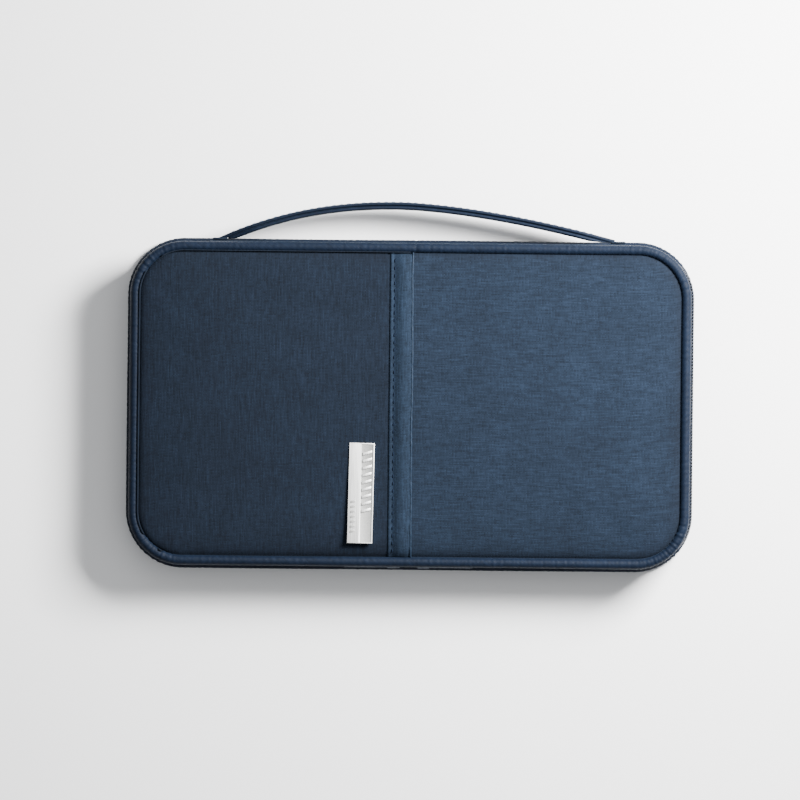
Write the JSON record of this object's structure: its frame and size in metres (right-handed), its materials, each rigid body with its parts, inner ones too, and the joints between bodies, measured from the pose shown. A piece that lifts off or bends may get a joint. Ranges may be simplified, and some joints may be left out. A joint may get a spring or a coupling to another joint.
{
  "type": "passport holder",
  "caption": "Slim zip-round travel document case in navy fabric, with a strap handle on its spine, a front slip pocket, inner pockets and a two-slider zip.",
  "frame": {"origin": "centre of the flat back panel that the closed case rests on", "axes": "+X along the length, towards the end that is up when the case is held upright; +Y towards the spine and its handle; +Z out of the front cover"},
  "size_m": [0.23, 0.1492, 0.0264],
  "materials": {
    "navy_polyester": "matte",
    "navy_binding": "matte",
    "zip_tape": "matte",
    "zip_coil": "satin",
    "inner_lining": "matte",
    "stiffener": "matte",
    "badge_metal": "satin",
    "slider_metal": "satin"
  },
  "bodies": {
    "back_shell": {"back_panel": "navy_polyester", "back_board": "stiffener", "back_lining": "inner_lining", "back_piping": "navy_binding", "back_zip_tape": "zip_tape", "back_zip_teeth": "zip_coil", "document_pocket": "inner_lining", "passport_pocket": "inner_lining"},
    "spine": {"spine_panel": "navy_polyester", "spine_board": "stiffener", "spine_lining": "inner_lining", "pen_loop": "navy_binding", "handle_anchor_left": "navy_binding", "handle_anchor_right": "navy_binding"},
    "handle": {"handle_inner_strip": "navy_binding", "handle_outer_strip": "navy_binding"},
    "front_cover": {"front_panel": "navy_polyester", "front_board": "stiffener", "front_lining": "inner_lining", "front_piping": "navy_binding", "front_zip_tape": "zip_tape", "front_zip_teeth": "zip_coil", "slip_pocket_panel": "navy_polyester", "slip_pocket_band": "navy_polyester", "badge": "badge_metal", "ticket_pocket": "inner_lining", "card_slot_1": "inner_lining", "card_slot_2": "inner_lining", "card_slot_3": "inner_lining", "card_slot_4": "inner_lining"},
    "right_slider": {"slider_right": "slider_metal"},
    "right_pull": {"pull_right": "slider_metal"},
    "left_slider": {"slider_left": "slider_metal"},
    "left_pull": {"pull_left": "slider_metal"}
  },
  "joints": [
    {"name": "spine_fold", "type": "hinge", "parent": "back_shell", "child": "spine", "pos_m": [0, 0.067, 0.0042], "axis": [-1, 0, 0], "range_deg": [0, 89]},
    {"name": "cover_fold", "type": "hinge", "parent": "spine", "child": "front_cover", "pos_m": [0, 0.067, 0.0198], "axis": [-1, 0, 0], "range_deg": [0, 89]},
    {"name": "handle_sway", "type": "hinge", "parent": "spine", "child": "handle", "pos_m": [0, 0.067, 0.012], "axis": [1, 0, 0], "range_deg": [-15, 15], "stiffness_Nm_per_rad": 0.02},
    {"name": "right_slider_travel", "type": "slide", "parent": "back_shell", "child": "right_slider", "axis": [1, 0, 0], "range_m": [0, 0.075]},
    {"name": "left_slider_travel", "type": "slide", "parent": "back_shell", "child": "left_slider", "axis": [-1, 0, 0], "range_m": [0, 0.075]},
    {"name": "right_pull_swing", "type": "hinge", "parent": "right_slider", "child": "right_pull", "pos_m": [0.006, -0.0656, 0.012], "axis": [0, 0, -1], "range_deg": [0, 100]},
    {"name": "left_pull_swing", "type": "hinge", "parent": "left_slider", "child": "left_pull", "pos_m": [-0.006, -0.0656, 0.012], "axis": [0, 0, 1], "range_deg": [0, 100]}
  ],
  "couplings": [
    {"joint": "cover_fold", "follows": "spine_fold", "ratio": 1}
  ]
}
